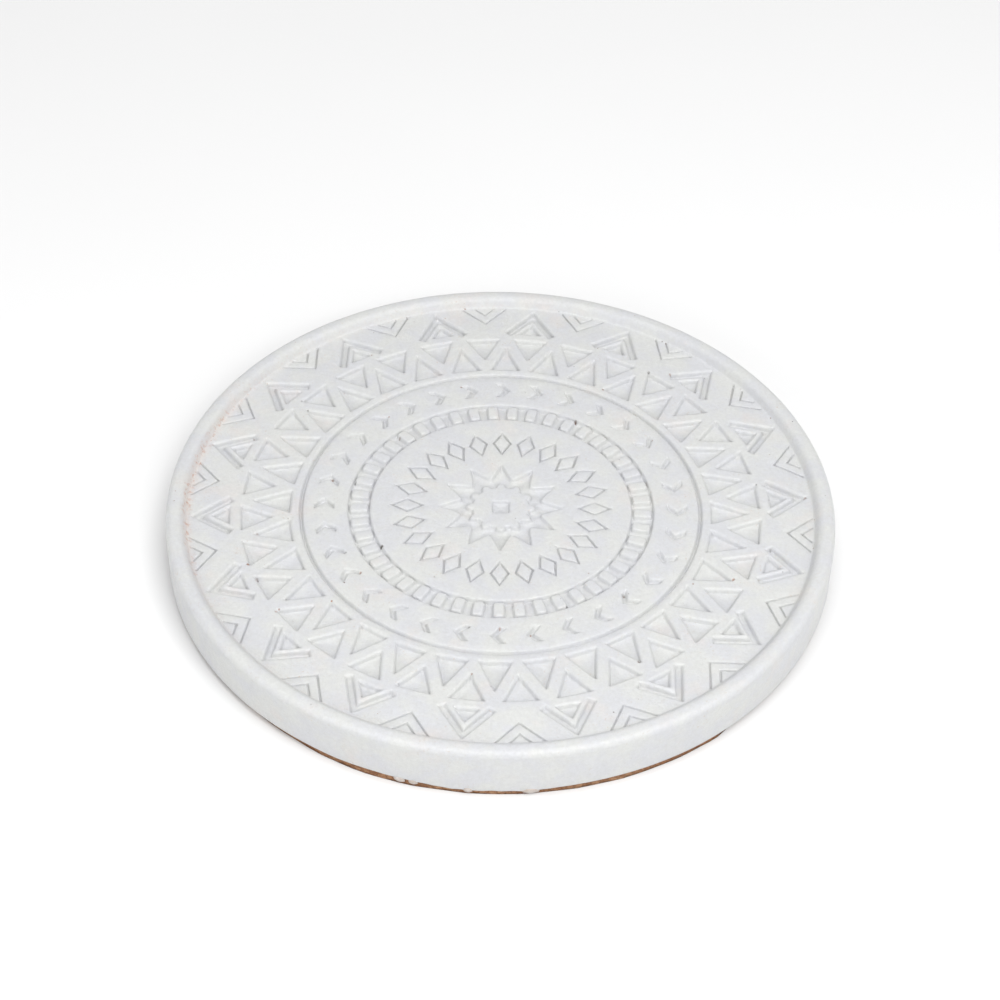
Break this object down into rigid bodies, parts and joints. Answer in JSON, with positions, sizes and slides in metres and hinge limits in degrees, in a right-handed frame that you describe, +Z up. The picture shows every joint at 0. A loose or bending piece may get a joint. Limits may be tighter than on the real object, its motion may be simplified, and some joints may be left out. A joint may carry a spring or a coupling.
{
  "type": "round coaster with sunk mandala relief",
  "caption": "Thin round cast disc with a raised rim, a geometric mandala sunk into its shallow dish, and a cork sheet glued underneath; used as a coaster or trinket dish.",
  "frame": {"origin": "on the resting plane, under the centre of the disc", "axes": "+Z up along the disc's axis; -Y is the front, where squeezed-out glue crosses the cork's edge"},
  "size_m": [0.1, 0.1, 0.0085],
  "materials": {
    "white_casting": "matte cast plaster or jesmonite, very slightly uneven, with pinholes",
    "white_glue": "dried white glue, satin",
    "cork": "agglomerated cork sheet, matte, granular"
  },
  "bodies": {
    "root": {"cast_disc": "white_casting", "glue_layer": "white_glue", "cork_backing": "cork"}
  },
  "joints": []
}
